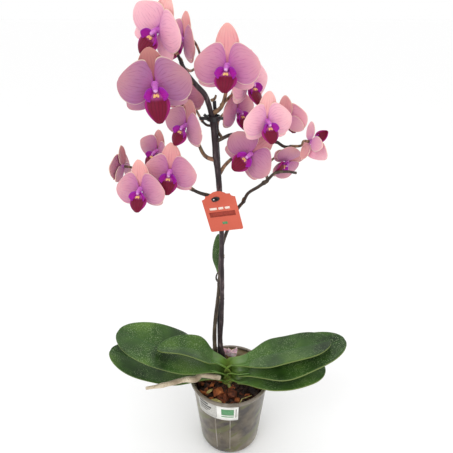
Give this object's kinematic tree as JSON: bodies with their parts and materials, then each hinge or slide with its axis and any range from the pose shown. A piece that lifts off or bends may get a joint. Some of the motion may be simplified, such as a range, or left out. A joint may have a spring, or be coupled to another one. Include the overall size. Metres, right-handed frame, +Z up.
{
  "type": "potted orchid",
  "caption": "Moth orchid growing in a clear round nursery pot of bark, with broad arching leaves, branching sprays of open flowers, a support stick and a plain gift tag.",
  "frame": {"origin": "centre of the pot's flat base, on the surface it stands on", "axes": "+Z up along the pot, -Y towards the front of the plant, +X to the right as seen from the front"},
  "size_m": [0.3471, 0.12, 0.623],
  "materials": {
    "clear_pot_plastic": "translucent smoke-grey moulded plastic with a rolled rim",
    "bark_mix": "damp, dark, coarse bark",
    "bark_chip": "dry rust-brown bark chip",
    "label_paper": "white self-adhesive label, plain",
    "wall_root": "moist green-grey root skin",
    "aerial_root": "dry silver-beige root skin",
    "crown": "smooth yellow-green leaf bases",
    "leaf": "thick waxy leaf, dark green with fine pale flecks and a paler edge",
    "stem_leaf": "small glossy dark green leaf",
    "main_spike": "woody purple-brown flower spike, mottled grey lower down",
    "second_spike": "green-brown flower spike",
    "stick": "blue-black plastic-coated stick with a pale cut end",
    "black_clip": "black moulded plastic",
    "tag_card": "coral printed card, plain",
    "petal": "satin pink petals with mauve veins and a cream edge",
    "lip": "crimson-magenta lip with violet side lobes",
    "faded_petal": "wilted pale pink petals"
  },
  "bodies": {
    "root": {"pot": "clear_pot_plastic", "growing_medium": "bark_mix", "pot_label": "label_paper", "bark_chip_left": "bark_chip", "bark_chip_centre": "bark_chip", "bark_chip_right": "bark_chip", "bark_chip_back": "bark_chip", "pot_root_left": "wall_root", "pot_root_right": "wall_root", "crown": "crown", "leaf_left_low": "leaf", "leaf_left_large": "leaf", "leaf_left_small": "leaf", "leaf_right_low": "leaf", "leaf_right_middle": "leaf", "leaf_right_top": "leaf", "aerial_root": "aerial_root", "spike_a": "main_spike", "spike_b": "second_spike", "stem_leaf": "stem_leaf", "support_stick": "stick", "stick_clip": "black_clip", "gift_tag": "tag_card", "tag_hook": "black_clip", "fallen_blossom": "faded_petal", "flower_01_petals": "petal", "flower_01_lip": "lip", "flower_02_petals": "petal", "flower_02_lip": "lip", "flower_03_petals": "petal", "flower_03_lip": "lip", "flower_04_petals": "petal", "flower_04_lip": "lip", "flower_05_petals": "petal", "flower_05_lip": "lip", "flower_06_petals": "petal", "flower_06_lip": "lip", "flower_07_petals": "petal", "flower_07_lip": "lip", "flower_08_petals": "petal", "flower_08_lip": "lip", "flower_09_petals": "petal", "flower_09_lip": "lip", "flower_10_petals": "petal", "flower_10_lip": "lip", "flower_11_petals": "petal", "flower_11_lip": "lip", "flower_12_petals": "petal", "flower_12_lip": "lip", "flower_13_petals": "petal", "flower_13_lip": "lip", "flower_14_petals": "petal", "flower_14_lip": "lip", "flower_15_petals": "petal", "flower_15_lip": "lip", "flower_16_petals": "petal", "flower_16_lip": "lip", "flower_17_petals": "petal", "flower_17_lip": "lip"}
  },
  "joints": []
}
